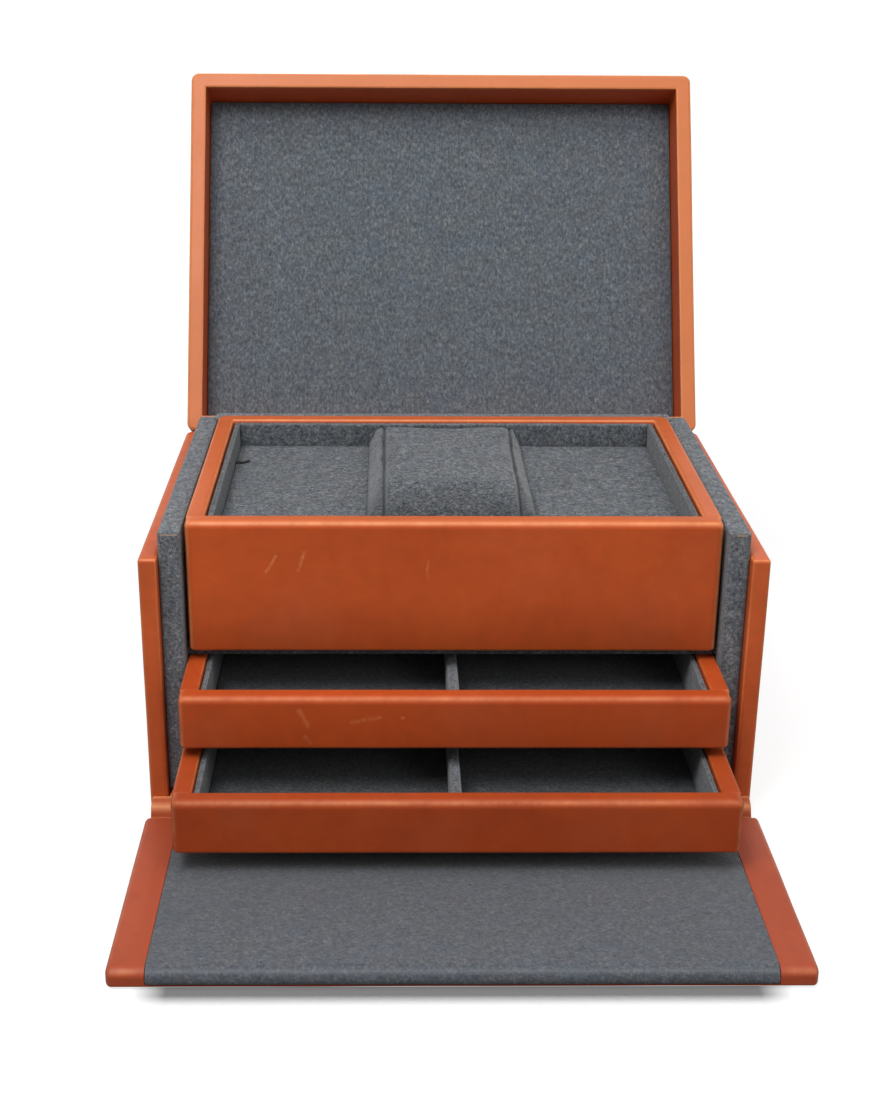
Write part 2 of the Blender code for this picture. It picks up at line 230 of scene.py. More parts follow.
# Pale glue lines at the liners' tops, and dark lines of painted shadow just under their top edges: start and end
# along x, depth below the top, width and colour
LINER_GLUE_AND_SHADOW_LINES = (
    (-0.1299, -0.1228, 0.0015, 0.0006, (0.42, 0.30, 0.22)),
    (-0.1302, -0.1224, 0.0002, 0.0006, (0.03, 0.03, 0.03)),
    (0.1252, 0.1292, 0.0015, 0.0006, (0.42, 0.28, 0.18)),
    (0.1245, 0.1300, 0.0001, 0.0007, (0.03, 0.03, 0.03)),
)

# Felt: its mean colour, the colours of its fibres, its patterns and the painted shade in its creases
FELT = (0.118, 0.128, 0.141)
FIBRES = (
    (0.36, (0.040, 0.046, 0.053)),
    (0.46, (0.085, 0.094, 0.105)),
    (0.53, (0.122, 0.132, 0.145)),
    (0.66, (0.245, 0.256, 0.268)),
)
# Paler fuzz and a painted highlight on the felt's rounded edges
FELT_EDGE_FUZZ_AND_HIGHLIGHT = (0.27, 0.28, 0.29)
WARM = (1.02, 1.0, 0.98)
COOL = (0.96, 1.0, 1.05)
FLECKS = 0.0014
TUFTS = 0.0042
FINE_FIBRES = 0.0005
BLOTCHES = 0.011
CREASE_REACH = 0.007
CREASE_SHADE = 0.74

# Painted shade that makes a felt darker, at the cushion's front and on the flap's felt before the lower drawer:
# two y places, and a factor at the first
FLAP_PAINTED_SHADE = (-0.165, -0.225, 0.80)
CUSHION_PAINTED_SHADE = (-0.060, -0.030, 0.52)

# The thread end on the left deck
THREAD = ((-0.1091, 0.0331), (-0.1068, 0.0364), (-0.1041, 0.0347), (-0.1013, 0.0381))
THREAD_RADIUS = 0.0007
THREAD_COLOR = (0.012, 0.012, 0.014)
THREAD_ROUGHNESS = 0.7
THREAD_TWIST = 0.0009


def opening_of(body):
    """The turn that opens what is shaped upright: the lid's, about its hinge, and none for the rest."""
    if body != "lid":
        return Matrix.Identity(4)
    hinge = JOINTS["lid_hinge"]
    to_hinge = Matrix.Translation(hinge["pos_m"])
    turn = Matrix.Rotation(-math.radians(hinge["range_deg"][1]), 4, "X")
    return to_hinge @ turn @ to_hinge.inverted()


def span(*nodes):
    """Lowest and highest corner of these nodes together, upright."""
    closing = opening_of(BODY_OF[nodes[0]]).inverted()
    points = [closing @ vertex.co for node in nodes for vertex in frame["nodes"][node].data.vertices]
    return Vector(map(min, zip(*points))), Vector(map(max, zip(*points)))


def axis_places(low, high, edges, step):
    """Places along one axis: close together over its two rounded ends, evenly spaced between them."""
    first, last = edges
    flat = max(0.0, high - low - first - last)
    support = min(SUPPORT, flat / 3)
    turns = [1 - math.tan(math.pi / 4 * k / ROUND_STEPS) for k in range(ROUND_STEPS, 0, -1)]
    if flat < SUPPORT:
        middle = [(low + first + high - last) / 2]
    else:
        start, end = low + first + support, high - last - support
        count = max(1, round((end - start) / step))
        middle = [low + first]
        middle += [start + (end - start) * k / count for k in range(count + 1)]
        middle += [high - last]
    return [low + first * turn for turn in turns] + middle + [high - last * turn for turn in reversed(turns)]


def rounded_box(low, high, edge, step=MESH_STEP, more=()):
    """A closed box with rounded edges. more adds x places.

    edge is one radius, or one for each axis, and each of those may be a pair for its low and high end.
    """
    radii = (edge,) * 3 if isinstance(edge, float) else edge
    ends = [(radius, radius) if isinstance(radius, float) else radius for radius in radii]
    places = [axis_places(low[a], high[a], ends[a], step) for a in range(3)]
    places[0] = sorted(set(places[0]) | set(more))
    shape = bmesh.new()
    made = {}

    def vertex(index):
        if index not in made:
            point = Vector(places[a][index[a]] for a in range(3))
            inner = Vector(min(max(point[a], low[a] + ends[a][0]), high[a] - ends[a][1]) for a in range(3))
            near = [ends[a][point[a] > inner[a]] for a in range(3)]
            offset = Vector((point[a] - inner[a]) / near[a] for a in range(3))
            if offset.length > 0:
                offset.normalize()
            made[index] = shape.verts.new([inner[a] + offset[a] * near[a] for a in range(3)])
        return made[index]

    for axis in range(3):
        u, v = [a for a in range(3) if a != axis]
        for end in (0, len(places[axis]) - 1):
            for i in range(len(places[u]) - 1):
                for j in range(len(places[v]) - 1):
                    corners = []
                    for di, dj in ((0, 0), (1, 0), (1, 1), (0, 1)):
                        index = [0, 0, 0]
                        index[axis], index[u], index[v] = end, i + di, j + dj
                        corners.append(vertex(tuple(index)))
                    shape.faces.new(corners)
    return shape


def bent(shape, function):
    for vertex in shape.verts:
        vertex.co = function(vertex.co)
    return shape


def waver(shape, amount, wave):
    """Moves the surface in and out a little, as leather and felt lie on a board."""
    bmesh.ops.recalc_face_normals(shape, faces=shape.faces)
    shape.normal_update()
    for vertex in shape.verts:
        vertex.co += vertex.normal * amount * noise.noise(vertex.co / wave)
    return shape


def three_walls(low, high, wall, corner, edge):
    """Left, back and right wall in one piece, open in front, with rounded outer corners."""
    reach = high.y - low.y - corner
    inner_reach = high.y - low.y - wall - INNER_CORNER
    turn = corner * math.pi / 2
    half_width = (high.x - low.x) / 2 - corner
    inner_half_width = (high.x - low.x) / 2 - wall - INNER_CORNER
    total = 2 * (reach + turn + half_width)

    def to_plan(point):
        along = min(point.x, total - point.x)
        if along <= reach:
            outside = Vector((0, along))
            inside = Vector((wall, inner_reach * along / reach))
        elif along <= reach + turn:
            angle = (along - reach) / corner
            back = Vector((1 - math.cos(angle), math.sin(angle)))
            outside = Vector((0, reach)) + corner * back
            inside = Vector((wall, inner_reach)) + INNER_CORNER * back
        else:
            share = (along - reach - turn) / half_width
            outside = Vector((corner + half_width * share, reach + corner))
            inside = Vector((wall + INNER_CORNER + inner_half_width * share, inner_reach + INNER_CORNER))
        x, y = outside.lerp(inside, point.y / wall)
        if along < point.x:
            x = high.x - low.x - x
        return Vector((low.x + x, low.y + y, point.z))

    turns = [reach + turn * k / CORNER_STEPS for k in range(CORNER_STEPS + 1)]
    turns += [total - place for place in turns]
    bar = rounded_box(Vector((0, 0, low.z)), Vector((total, wall, high.z)), edge, more=turns)
    return bent(bar, to_plan)


def ring(low, high, inset, corner, counts):
    """The plan of a rounded rectangle, in from the outline by inset, with so many points on each side."""
    corner = max(INNER_CORNER, corner - inset)
    middle = (low + high) / 2
    half = [(high[a] - low[a]) / 2 - inset - corner for a in range(2)]
    points = []
    for quarter, (dx, dy) in enumerate(((-1, 0), (0, -1), (1, 0), (0, 1))):
        x = middle.x + half[0] * (1 if quarter in (0, 3) else -1)
        y = middle.y + half[1] * (1 if quarter < 2 else -1)
        for k in range(CORNER_STEPS + 1):
            angle = math.pi / 2 * (quarter + k / CORNER_STEPS)
            points.append((x + corner * math.cos(angle), y + corner * math.sin(angle)))
        x, y = points[-1]
        length, count = 2 * half[quarter % 2], counts[quarter % 2]
        runs = [length * k / count for k in range(1, count)]
        points += [(x + dx * run, y + dy * run) for run in runs]
    return points


def shell(low, high, corner, profile):
    """A closed form through rounded rectangles, one for each (inset, height) of the profile."""
    shape = bmesh.new()
    counts = [round((high[a] - low[a]) / MESH_STEP) for a in range(2)]
    rings = []
    for inset, height in profile:
        plan = ring(low, high, inset, corner, counts)
        rings.append([shape.verts.new((x, y, height)) for x, y in plan])
    for first, second in zip(rings, rings[1:]):
        for k in range(len(first)):
            after = (k + 1) % len(first)
            shape.faces.new((first[k], first[after], second[after], second[k]))
    shape.faces.new(rings[0])
    shape.faces.new(rings[-1])
    return shape


def quarter_round(start, end, steps=ROUND_STEPS):
    """Points of a quarter ellipse that leaves start along the first axis and reaches end along the second."""
    (x0, y0), (x1, y1) = start, end
    turns = [math.pi / 2 * k / steps for k in range(steps + 1)]
    return [(x0 + (x1 - x0) * math.sin(turn), y1 + (y0 - y1) * math.cos(turn)) for turn in turns]


def extruded(outline, low, high, end_edge=THIN_EDGE):
    """A closed (y, z) outline drawn out along x, with its two ends slightly rounded."""
    shape = bmesh.new()
    ends = [[shape.verts.new((x, y, z)) for y, z in outline] for x in (low, high)]
    caps = [shape.faces.new(end) for end in ends]
    for k in range(len(outline)):
        after = (k + 1) % len(outline)
        shape.faces.new((ends[0][k], ends[0][after], ends[1][after], ends[1][k]))
    rims = [edge for cap in caps for edge in cap.edges]
    bmesh.ops.bevel(shape, geom=rims, offset=end_edge, segments=2, profile=0.5, affect="EDGES")
    return shape


def add_attribute(mesh, name, kind, values):
    attribute = mesh.attributes.new(name, kind, "POINT")
    attribute.data.foreach_set("vector" if kind == "FLOAT_VECTOR" else "value", values)


def as_piece(name, shape, finish, opening=None, sharp=False):
    """An object from a shape. Its mesh keeps each point's upright place, hide patch and roundness."""
    bmesh.ops.recalc_face_normals(shape, faces=shape.faces)
    mesh = bpy.data.meshes.new(name)
    shape.to_mesh(mesh)
    shape.free()
    patch = Vector((sum(map(ord, name)) % 97, len(name), 0)) * 0.37
    places = [vertex.co.copy() for vertex in mesh.vertices]
    add_attribute(mesh, "upright", "FLOAT_VECTOR", [c for place in places for c in place])
    add_attribute(mesh, "patch", "FLOAT_VECTOR", [c for place in places for c in place + patch])
    corner = 1 - math.sqrt(0.5)
    turned = [(1 - max(map(abs, vertex.normal))) / corner for vertex in mesh.vertices]
    add_attribute(mesh, "edge", "FLOAT", turned)
    mesh.transform(opening or Matrix.Identity(4))
    mesh.shade_smooth()
    if sharp:
        mesh.set_sharp_from_angle(angle=SHARP_ANGLE)
    mesh.materials.append(finish)
    piece = bpy.data.objects.new(name, mesh)
    bpy.context.scene.collection.objects.link(piece)
    return piece


def add_piece(name, shape, nodes, finish, sharp=False):
    """A piece that rides on the body of the nodes that it replaces."""
    body = BODY_OF[nodes[0]]
    piece = as_piece(name, shape, finish, opening_of(body), sharp)
    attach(piece, body)
    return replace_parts(piece, *nodes)


class Finish:
    """A node material. Sizes are in metres, and places are the points' upright places."""

    def __init__(self, name, roughness, **uniform):
        self.material = bpy.data.materials.new(name)
        self.material.use_nodes = True
        self.tree = self.material.node_tree
        self.shader = self.tree.nodes["Principled BSDF"]
        self.shader.inputs["Roughness"].default_value = roughness
        for socket, value in uniform.items():
            self.shader.inputs[socket.replace("_", " ").title()].default_value = value

    def node(self, kind, inputs, **settings):
        made = self.tree.nodes.new(kind)
        for setting, value in settings.items():
            setattr(made, setting, value)
        for name, value in inputs.items():
            if isinstance(value, bpy.types.NodeSocket):
                self.tree.links.new(value, made.inputs[name])
            else:
                made.inputs[name].default_value = value
        return made

    def attribute(self, name, output="Vector"):
        return self.node("ShaderNodeAttribute", {}, attribute_name=name).outputs[output]

    def noise(self, place, size, detail=3.0, roughness=0.55, distortion=0.0):
        inputs = {"Vector": place, "Scale": 1 / size, "Detail": detail}
        inputs |= {"Roughness": roughness, "Distortion": distortion}
        return self.node("ShaderNodeTexNoise", inputs).outputs["Fac"]

    def stretched(self, place, scale):
        return self.node("ShaderNodeMapping", {"Vector": place, "Scale": scale}).outputs["Vector"]

    def ranged(self, value, low, high, to_low=0.0, to_high=1.0):
        inputs = {"Value": value, "From Min": low, "From Max": high, "To Min": to_low, "To Max": to_high}
        return self.node("ShaderNodeMapRange", inputs).outputs["Result"]

    def calc(self, operation, first, second=0.0, third=0.0):
        inputs = {0: first, 1: second, 2: third}
        return self.node("ShaderNodeMath", inputs, operation=operation).outputs["Value"]

    def vector(self, operation, first, second, output="Vector"):
        inputs = {0: first, 1: second}
        return self.node("ShaderNodeVectorMath", inputs, operation=operation).outputs[output]

    def mix(self, share, first, second, blend="MIX"):
        """A colour mix. A Mix node's colour sockets are its inputs 6 and 7 and its output 2."""
        inputs = {0: share, 6: first, 7: second}
        return self.node("ShaderNodeMix", inputs, data_type="RGBA", blend_type=blend).outputs[2]

    def grey(self, value):
        return self.node("ShaderNodeCombineColor", {0: value, 1: value, 2: value}).outputs["Color"]

    def set(self, socket, value):
        self.tree.links.new(value, self.shader.inputs[socket])

    def bump(self, height, distance, strength, below=None):
        inputs = {"Height": height, "Distance": distance, "Strength": strength}
        if below:
            inputs["Normal"] = below
        return self.node("ShaderNodeBump", inputs).outputs["Normal"]


def rgb(red, green, blue):
    return (red, green, blue, 1.0)


def scaled(color, factor):
    return tuple(part * factor for part in color)


def near_line(finish, place, start, end, width):
    """1 on the line from start to end, falling to 0 at width from it."""
    start, end = Vector(start), Vector(end)
    run = end - start
    from_start = finish.vector("SUBTRACT", place, start)
    along = finish.vector("DOT_PRODUCT", from_start, run / run.length_squared, "Value")
    held = finish.node("ShaderNodeClamp", {"Value": along}).outputs["Result"]
    nearest = finish.node("ShaderNodeVectorMath", {0: run, "Scale": held}, operation="SCALE")
    distance = finish.vector("DISTANCE", from_start, nearest.outputs["Vector"], "Value")
    return finish.ranged(distance, 0.0, width, 1.0, 0.0)


def raised(base, band):
    """A band of two heights and a share, with its heights counted from base."""
    start, end, share = band
    return base + start, base + end, share


def leather(
    name, deep=DEEP, light=LIGHT, marks=(), roughness=HIDE_ROUGHNESS, rubbed=None, wear_and_highlight=WEAR_AND_HIGHLIGHT, low=None
):
    """Smooth dyed hide: cloudy colour, fine pores, edges paled by wear and a painted highlight, and a few scuffs.

    rubbed gives two upright heights and a share: from the first to the second, a painted highlight makes
    the hide paler by that share. low gives two heights and a factor: painted shade makes the hide darker by it at
    the first.
    wear_and_highlight is the least and the most that the edges are paled by wear and a painted highlight.
    """
    finish = Finish(name, roughness)
    finish.shader.inputs["Specular IOR Level"].default_value = 0.3
    upright = finish.attribute("upright")
    patch = finish.attribute("patch")
    cloud = finish.ranged(finish.noise(patch, CLOUDS, 5.0, 0.6), 0.3, 0.7)
    color = finish.mix(cloud, rgb(*deep), rgb(*light))
    rosy = finish.ranged(finish.noise(patch, ROSY_PATCHES, 3.0, 0.5), 0.52, 0.7, 0.0, 0.35)
    color = finish.mix(rosy, color, rgb(*scaled(ROSY, deep[0] / DEEP[0])))
    mottle = finish.ranged(finish.noise(patch, MOTTLE, 4.0, 0.65), 0.3, 0.7, 0.93, 1.07)
    color = finish.mix(1.0, color, finish.grey(mottle), "MULTIPLY")
    # Painted highlight: a band of paler hide at a rim
    if rubbed:
        start, end, share = rubbed
        height = finish.node("ShaderNodeSeparateXYZ", {"Vector": upright}).outputs["Z"]
        color = finish.mix(finish.ranged(height, start, end, 0.0, share), color, rgb(*PAINTED_HIGHLIGHT))
    # Painted shade: the hide is darker towards the foot of a front
    if low:
        start, end, factor = low
        height = finish.node("ShaderNodeSeparateXYZ", {"Vector": upright}).outputs["Z"]
        painted_foot_shade = finish.ranged(height, start, end, factor, 1.0)
        color = finish.mix(1.0, color, finish.grey(painted_foot_shade), "MULTIPLY")
    # The rounded edges are paled, partly by wear and partly as a painted highlight
    edge = finish.ranged(finish.attribute("edge", "Fac"), 0.15, 1.0)
    rub = finish.ranged(finish.noise(patch, WEAR_AND_HIGHLIGHT_PATCHES, 4.0, 0.7), 0.35, 0.65, *wear_and_highlight)
    color = finish.mix(finish.calc("MULTIPLY", edge, rub), color, rgb(*WORN_AND_HIGHLIGHT))
    wander = finish.node("ShaderNodeTexNoise", {"Vector": upright, "Scale": WANDER_SCALE, "Detail": 2.0})
    wandered = finish.vector("SUBTRACT", wander.outputs["Color"], (0.5, 0.5, 0.5))
    wandered = finish.node("ShaderNodeVectorMath", {0: wandered, "Scale": MARK_WANDER}, operation="SCALE")
    place = finish.vector("ADD", upright, wandered.outputs["Vector"])
    broken = finish.ranged(finish.noise(upright, MARK_BREAKS, 3.0, 0.7), 0.38, 0.6, 0.25, 1.0)
    for start, end, width, strength in marks:
        near = near_line(finish, place, start, end, width)
        share = finish.calc("MULTIPLY", finish.calc("MULTIPLY", near, broken), abs(strength))
        color = finish.mix(share, color, rgb(*(WORN_AND_HIGHLIGHT if strength > 0 else DARK_MARK)))
    finish.set("Base Color", color)
    pores = finish.noise(patch, PORES, 3.0, 0.6)
    creases = finish.noise(patch, CREASES, 5.0, 0.6)
    normal = finish.bump(creases, 0.0006, 0.12)
    finish.set("Normal", finish.bump(pores, 0.00012, 0.25, normal))
    finish.set("Roughness", finish.ranged(cloud, 0.0, 1.0, roughness + 0.05, roughness - 0.05))
    return finish.material


def felt(name, shade, contrast=1.0, along="", marks=(), seams=(), painted_shade_band=None):
    """Wool felt of dark, mid and pale fibres, with faint blue and brown blotches, and painted shade in its
    creases.

    along names the axis that the fibres lie along, and seams gives dark sewn lines, each as its x place
    in the middle and its slant. painted_shade_band gives two y places and a factor: painted shade makes the felt
    darker by it at the first.
    """
    shade = (shade,) * 3 if isinstance(shade, float) else shade
    finish = Finish(name, 0.95, sheen_weight=0.18, sheen_roughness=0.6)
    finish.shader.inputs["Specular IOR Level"].default_value = 0.15
    upright = finish.attribute("upright")
    patch = finish.attribute("patch")
    fibre = finish.stretched(patch, [0.6 if axis == along else 1.0 for axis in "XYZ"])
    flecks = finish.noise(fibre, FLECKS, 2.5, 0.7, 0.6)
    tufts = finish.noise(patch, TUFTS, 3.0, 0.6, 0.4)
    fine = finish.noise(patch, FINE_FIBRES, 2.0, 0.6)
    mixed = finish.calc("ADD", finish.calc("MULTIPLY", flecks, 0.62), finish.calc("MULTIPLY", fine, 0.18))
    mixed = finish.calc("ADD", mixed, finish.calc("MULTIPLY", tufts, 0.20))
    ramp = finish.node("ShaderNodeValToRGB", {"Fac": mixed})
    elements = ramp.color_ramp.elements
    while len(elements) < len(FIBRES):
        elements.new(0.5)
    for element, (place, color) in zip(elements, FIBRES):
        element.position = place
        element.color = rgb(*(s * (m + contrast * (c - m)) for s, c, m in zip(shade, color, FELT)))
    blotch = finish.noise(patch, BLOTCHES, 3.0, 0.6)
    tint = finish.mix(finish.ranged(blotch, 0.35, 0.65), rgb(*WARM), rgb(*COOL))
    color = finish.mix(1.0, ramp.outputs["Color"], tint, "MULTIPLY")
    # The rounded edges are paler, partly fuzz and partly a painted highlight
    edge = finish.ranged(finish.attribute("edge", "Fac"), 0.3, 1.0, 0.0, 0.35)
    color = finish.mix(edge, color, rgb(*(s * c for s, c in zip(shade, FELT_EDGE_FUZZ_AND_HIGHLIGHT))))
    for start, end, width, tone in marks:
        color = finish.mix(near_line(finish, upright, start, end, width), color, rgb(*tone))
    axes = finish.node("ShaderNodeSeparateXYZ", {"Vector": upright}).outputs
    for place, slant in seams:
        line = finish.calc("MULTIPLY_ADD", axes["Y"], slant, place)
        away = finish.calc("ABSOLUTE", finish.calc("SUBTRACT", axes["X"], line))
        color = finish.mix(finish.ranged(away, 0.0002, SEAM_SHADE, 0.95, 0.0), color, rgb(*SEAM_COLOR))
    # Painted shade: the felt is darker towards one y place
    if painted_shade_band:
        start, end, factor = painted_shade_band
        painted_y_shade = finish.ranged(axes["Y"], start, end, factor, 1.0)
        color = finish.mix(1.0, color, finish.grey(painted_y_shade), "MULTIPLY")
    # Painted shade in creases and corners, from the surfaces' occlusion
    painted_crease_shade = finish.node("ShaderNodeAmbientOcclusion", {"Distance": CREASE_REACH}, samples=8).outputs["AO"]
    painted_crease_shade = finish.ranged(painted_crease_shade, 0.3, 0.95, CREASE_SHADE, 1.0)
    color = finish.mix(1.0, color, finish.grey(painted_crease_shade), "MULTIPLY")
    finish.set("Base Color", color)
    normal = finish.bump(flecks, 0.0006, 0.6)
    finish.set("Normal", finish.bump(fine, 0.0002, 0.5, normal))
    return finish.material


def twisted_thread():
    finish = Finish("thread", THREAD_ROUGHNESS)
    shade = finish.ranged(finish.noise(finish.attribute("upright"), THREAD_TWIST), 0.3, 0.7, 0.7, 1.2)
    finish.set("Base Color", finish.mix(1.0, rgb(*THREAD_COLOR), finish.grey(shade), "MULTIPLY"))
    return finish.material


def add_felt_board(node, finish, edge=LINING_EDGE, step=MESH_STEP, grow=((0, 0, 0), (0, 0, 0))):
    """A felt-covered board. grow moves its low and high corners."""
    low, high = [corner + Vector(move) for corner, move in zip(span(node), grow)]
    shape = waver(rounded_box(low, high, edge, step), FELT_WAVER, FELT_WAVE)
    return add_piece(f"{node}_cover", shape, [node], finish)


def add_leather_board(node, finish, edge=LEATHER_EDGE):
    shape = waver(rounded_box(*span(node), edge), LEATHER_WAVER, LEATHER_WAVE)
    return add_piece(f"{node}_leather", shape, [node], finish)


def add_walls(name, nodes, finish, corner, edge, join=0.0):
    low, high = span(*nodes)
    low.y -= join
    side_low, side_high = span(nodes[0])
    shape = three_walls(low, high, side_high.x - side_low.x, corner, edge)
    return add_piece(name, waver(shape, LEATHER_WAVER, LEATHER_WAVE), nodes, finish)


def add_frame(name, finish):
    """The front of a drawer or the tray, and its sides and back, whose ends run into that front."""
    add_leather_board(f"{name}_front", finish, FRONT_EDGES)
    nodes = [f"{name}_{side}" for side in ("left_side", "back", "right_side")]
    add_walls(f"{name}_frame", nodes, finish, FRAME_CORNER, FRAME_EDGE, FRAME_JOIN)


def add_lid_cover(finish):
    """The lid's leather: its top, its four sides and the rim that the box closes on, in one skin."""
    rails = [f"lid_{side}_rail" for side in ("front", "back", "left", "right")]
    low, high = span(*rails)
    panel_low, _ = span("lid_top_panel")
    rail_low, rail_high = span("lid_left_rail")
    wall = rail_high.x - rail_low.x
    top, rim, inner = LID_TOP_EDGE, LID_RIM_EDGE, LID_INNER_EDGE
    profile = [(top + SUPPORT, high.z)]
    profile += [(top - inset, height) for inset, height in quarter_round((0, high.z), (top, high.z - top))]
    profile += quarter_round_down(low.z, rim)
    profile += [(rim + SUPPORT, low.z), (wall - inner - SUPPORT, low.z)]
    profile += [(wall - inner + x, z) for x, z in quarter_round((0, low.z), (inner, low.z + inner))]
    profile += [(wall, low.z + inner + SUPPORT), (wall, panel_low.z - SUPPORT), (wall, panel_low.z)]
    shape = waver(shell(low, high, CASE_CORNER, profile), LEATHER_WAVER, LEATHER_WAVE)
    return add_piece("lid_leather", shape, [*rails, "lid_top_panel"], finish)


def quarter_round_down(base, radius):
    """(inset, height) points down the lid's side and round its outer rim edge."""
    turns = [math.pi / 2 * k / ROUND_STEPS for k in range(ROUND_STEPS + 1)]
    side = [(0.0, base + radius + SUPPORT)]
    return side + [(radius * (1 - math.cos(t)), base + radius * (1 - math.sin(t))) for t in turns]


def baked(piece, operation, other):
    """The piece's mesh with a Boolean applied. The other object is then removed."""
    change = piece.modifiers.new("cut", "BOOLEAN")
    change.operation = operation
    change.object = other
    graph = bpy.context.evaluated_depsgraph_get()
    mesh = bpy.data.meshes.new_from_object(piece.evaluated_get(graph))
    piece.modifiers.clear()
    old = piece.data
    piece.data = mesh
    bpy.data.meshes.remove(old)
    bpy.data.objects.remove(other)


def add_drop_front(hide, cloth):
    """The drop front: a leather board with side borders, and felt that turns over its free end."""
    low, high = span("drop_front_board")
    felt_low, felt_high = span("drop_front_felt")
    board = rounded_box(low, high, FLAP_EDGES)
    waver(board, LEATHER_WAVER, LEATHER_WAVE)
    piece = add_piece("drop_front_leather", board, ["drop_front_board"], hide)
    bed = high.z - BED_DEPTH
    left, right, above = felt_low.x - FIT, felt_high.x + FIT, high.z + REACH
    cuts = (
        (Vector((left, low.y + BED_DEPTH, bed)), Vector((right, high.y + REACH, above))),
        (Vector((left, low.y - REACH, felt_low.z - FIT)), Vector((right, low.y + BED_DEPTH, above))),
    )
    for corner, opposite in cuts:
        cutter = as_piece("cutter", plain_box(corner, opposite), hide)
        baked(piece, "DIFFERENCE", cutter)
    piece.data.set_sharp_from_angle(angle=SHARP_ANGLE)

    top = high.z + FELT_PROUD
    end = low.y - FELT_PROUD
    turn = FELT_TURN
    outline = [(high.y - LEATHER_EDGE, bed + FIT), (high.y - LEATHER_EDGE, top - THIN_EDGE)]
    outline += [(high.y - LEATHER_EDGE - THIN_EDGE, top), (end + turn + SUPPORT, top)]
    outline += [(end + turn - y, z) for y, z in quarter_round((0, top), (turn, top - turn), FOLD_STEPS)]
    outline += [(end, felt_low.z + THIN_EDGE), (end + THIN_EDGE, felt_low.z)]
    outline += [(low.y + BED_DEPTH - FIT, felt_low.z), (low.y + BED_DEPTH - FIT, bed + FIT)]
    shape = extruded(outline, felt_low.x, felt_high.x, FELT_CUT)
    return add_piece("drop_front_felt_cover", shape, ["drop_front_felt"], cloth, sharp=True)


def plain_box(low, high):
    shape = bmesh.new()
    bmesh.ops.create_cube(shape, size=1.0)
    bmesh.ops.scale(shape, vec=high - low, verts=shape.verts)
    bmesh.ops.translate(shape, vec=(low + high) / 2, verts=shape.verts)
    return shape


def add_front_hinge(hide):
    """The leather that covers the sill, turns down over its nose and runs on to the drop front."""
    sill_low, sill_high = span("front_sill")
    strip_low, strip_high = span("drop_front_hinge_strip")
    nose = sill_low.y
    top, base = sill_high.z, sill_low.z
    low_top = strip_high.z
    outline = [(sill_high.y, base), (sill_high.y, top)]
    fold = quarter_round((0, top), (NOSE, top - NOSE), FOLD_STEPS)
    outline += [(nose + NOSE - y, z) for y, z in fold]
    for k in range(FOLD_STEPS + 1):
        turn = math.pi / 2 * k / FOLD_STEPS
        outline.append((nose - VALLEY * (1 - math.cos(turn)), low_top + VALLEY * (1 - math.sin(turn))))
    outline += [(strip_low.y, low_top), (strip_low.y, base)]
    shape = extruded(outline, strip_low.x, strip_high.x)
    piece = as_piece("drop_front_hinge_leather", shape, hide, sharp=True)
    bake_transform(piece)
    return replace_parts(piece, "front_sill", "drop_front_hinge_strip")


def add_lid_hinge(hide):
    """The leather behind: up the back wall, round the hinge's line and out along the lid's back rail."""
    case_low, case_high = span("lid_hinge_strip_case")
    lid_low, lid_high = span("lid_hinge_strip_lid")
    pivot = Vector(JOINTS["lid_hinge"]["pos_m"])
    opening = opening_of("lid")
    off = (case_low.y + case_high.y) / 2 - pivot.y
    upward = [Vector((0, pivot.y + off, case_low.z))]
    outward = [opening @ Vector((0, pivot.y + off, lid_high.z))]
    first = Vector((0, pivot.y + off, pivot.z - HINGE_CURVE))
    last = opening @ Vector((0, pivot.y + off, pivot.z + HINGE_CURVE))
    meet = Vector((0, pivot.y + off, pivot.z)).lerp(opening @ Vector((0, pivot.y + off, pivot.z)), 0.5)
    knee = pivot + (meet - pivot) * HINGE_BULGE
    shares = [k / HINGE_STEPS for k in range(HINGE_STEPS + 1)]
    curve = [first.lerp(knee, share).lerp(knee.lerp(last, share), share) for share in shares]
    path = upward + curve + outward
    half = HINGE_THICKNESS / 2
    sides = ([], [])
    for k, point in enumerate(path):
        before, after = path[max(k - 1, 0)], path[min(k + 1, len(path) - 1)]
        run = (after - before).normalized()
        across = Vector((0, -run.z, run.y))
        for side, sign in zip(sides, (1, -1)):
            side.append((point + across * half * sign)[1:])
    outline = sides[0] + sides[1][::-1]
    shape = extruded(outline, case_low.x, case_high.x)
    piece = as_piece("lid_hinge_leather", shape, hide, sharp=True)
    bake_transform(piece)
    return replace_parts(piece, "lid_hinge_strip_case", "lid_hinge_strip_lid")


